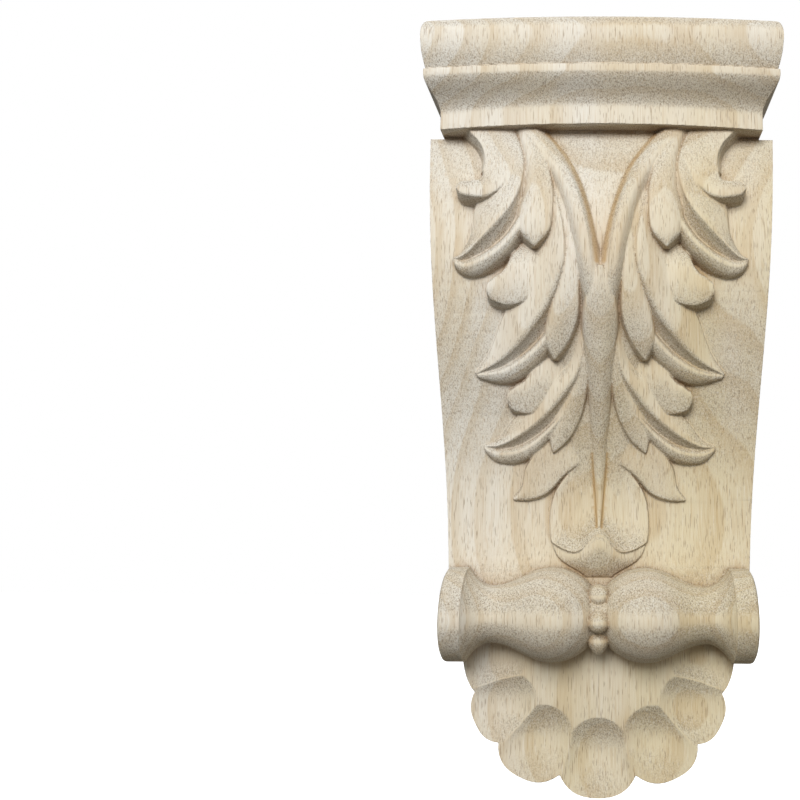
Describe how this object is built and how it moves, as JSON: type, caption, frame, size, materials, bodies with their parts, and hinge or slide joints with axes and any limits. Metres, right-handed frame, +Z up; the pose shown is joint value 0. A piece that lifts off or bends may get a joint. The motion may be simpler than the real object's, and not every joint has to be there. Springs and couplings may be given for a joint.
{
  "type": "carved wood onlay",
  "caption": "Flat-backed carved wood onlay in a corbel pattern: bowed cap moulding, acanthus leaf sprays on a forked stem, bud, turned roll with beads and scalloped shell foot.",
  "frame": {"origin": "centre of the flat back face across the width, at half of the overall height", "axes": "+Z up along the onlay, +Y out of the flat back towards the wall, the carved front faces -Y, +X to the right seen from the front"},
  "size_m": [0.144, 0.0336, 0.3],
  "materials": {
    "raw_wood": "unfinished, sanded pale hardwood with open pores"
  },
  "bodies": {
    "root": {"carved_onlay": "raw_wood"}
  },
  "joints": []
}
